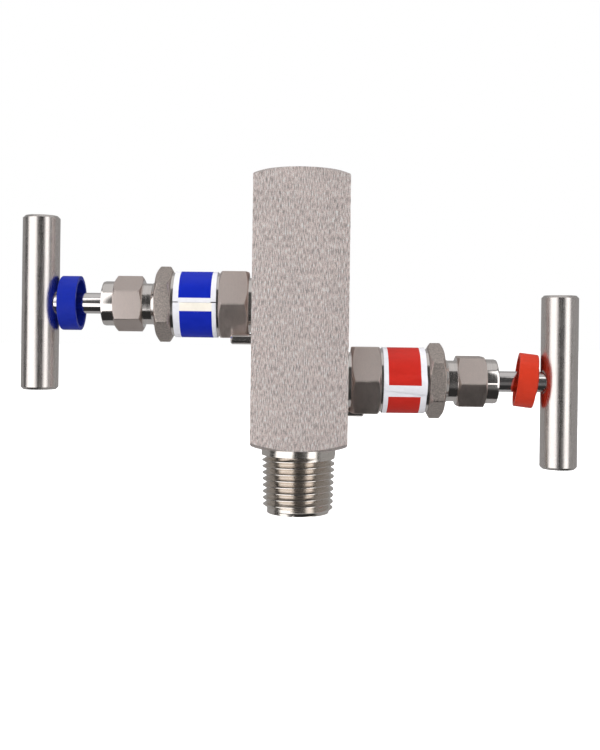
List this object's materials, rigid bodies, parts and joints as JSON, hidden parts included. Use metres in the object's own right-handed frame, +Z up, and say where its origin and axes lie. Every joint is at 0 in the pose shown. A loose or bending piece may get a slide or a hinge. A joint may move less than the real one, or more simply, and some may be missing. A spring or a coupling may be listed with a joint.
{
  "type": "instrument valve manifold",
  "caption": "Upright steel block with a male pipe thread below, a female port above, and needle valves with T-bar handles and coloured dust caps on opposite sides.",
  "frame": {"origin": "centre of the end face of the male process thread", "axes": "+Z up the block towards the instrument port, +X towards the bleed valve (red), -X towards the isolating valve (blue), +Y towards the vent port"},
  "size_m": [0.1608, 0.027, 0.0976],
  "materials": {
    "block_steel": "fine vertical grain",
    "satin_steel": "satin, bead blasted flats",
    "nut_steel": "coarse turned faces",
    "bright_steel": "polished, finely turned",
    "seal_ptfe": "smooth",
    "blue_label": "printed film",
    "red_label": "printed film",
    "blue_cap": "moulded, semi-gloss",
    "red_cap": "moulded, semi-gloss"
  },
  "bodies": {
    "body": {"block": "block_steel", "blue_lock_pin": "bright_steel", "blue_bonnet_gasket": "seal_ptfe", "blue_bonnet": "satin_steel", "blue_label": "blue_label", "blue_lock_nut": "nut_steel", "blue_gland_adjuster": "bright_steel", "blue_packing_washer": "bright_steel", "blue_packing_ring_1": "seal_ptfe", "blue_packing_ring_2": "seal_ptfe", "blue_packing_ring_3": "seal_ptfe", "red_lock_pin": "bright_steel", "red_bonnet_gasket": "seal_ptfe", "red_bonnet": "satin_steel", "red_label": "red_label", "red_lock_nut": "nut_steel", "red_gland_adjuster": "bright_steel", "red_packing_washer": "bright_steel", "red_packing_ring_1": "seal_ptfe", "red_packing_ring_2": "seal_ptfe", "red_packing_ring_3": "seal_ptfe"},
    "blue_needle_body": {"blue_needle": "bright_steel"},
    "blue_stem_body": {"blue_stem": "bright_steel", "blue_t_bar": "bright_steel", "blue_set_screw": "nut_steel"},
    "blue_cap_body": {"blue_dust_cap": "blue_cap"},
    "red_needle_body": {"red_needle": "bright_steel"},
    "red_stem_body": {"red_stem": "bright_steel", "red_t_bar": "bright_steel", "red_set_screw": "nut_steel"},
    "red_cap_body": {"red_dust_cap": "red_cap"}
  },
  "joints": [
    {"name": "blue_rise", "type": "slide", "parent": "body", "child": "blue_needle_body", "axis": [-1, 0, 0], "range_m": [0, 0.0038]},
    {"name": "blue_turn", "type": "hinge", "parent": "blue_needle_body", "child": "blue_stem_body", "pos_m": [-0.05, 0, 0.0595], "axis": [-1, 0, 0], "range_deg": [0, 1350]},
    {"name": "blue_cap_slide", "type": "slide", "parent": "blue_stem_body", "child": "blue_cap_body", "axis": [1, 0, 0], "range_m": [-0.0003, 0.0099]},
    {"name": "red_rise", "type": "slide", "parent": "body", "child": "red_needle_body", "axis": [1, 0, 0], "range_m": [0, 0.0038]},
    {"name": "red_turn", "type": "hinge", "parent": "red_needle_body", "child": "red_stem_body", "pos_m": [0.05, 0, 0.0384], "axis": [1, 0, 0], "range_deg": [0, 1350]},
    {"name": "red_cap_slide", "type": "slide", "parent": "red_stem_body", "child": "red_cap_body", "axis": [-1, 0, 0], "range_m": [0, 0.0043]}
  ],
  "couplings": [
    {"joint": "blue_rise", "follows": "blue_turn", "m_per_rad": 0.00015915},
    {"joint": "red_rise", "follows": "red_turn", "m_per_rad": 0.00015915}
  ]
}
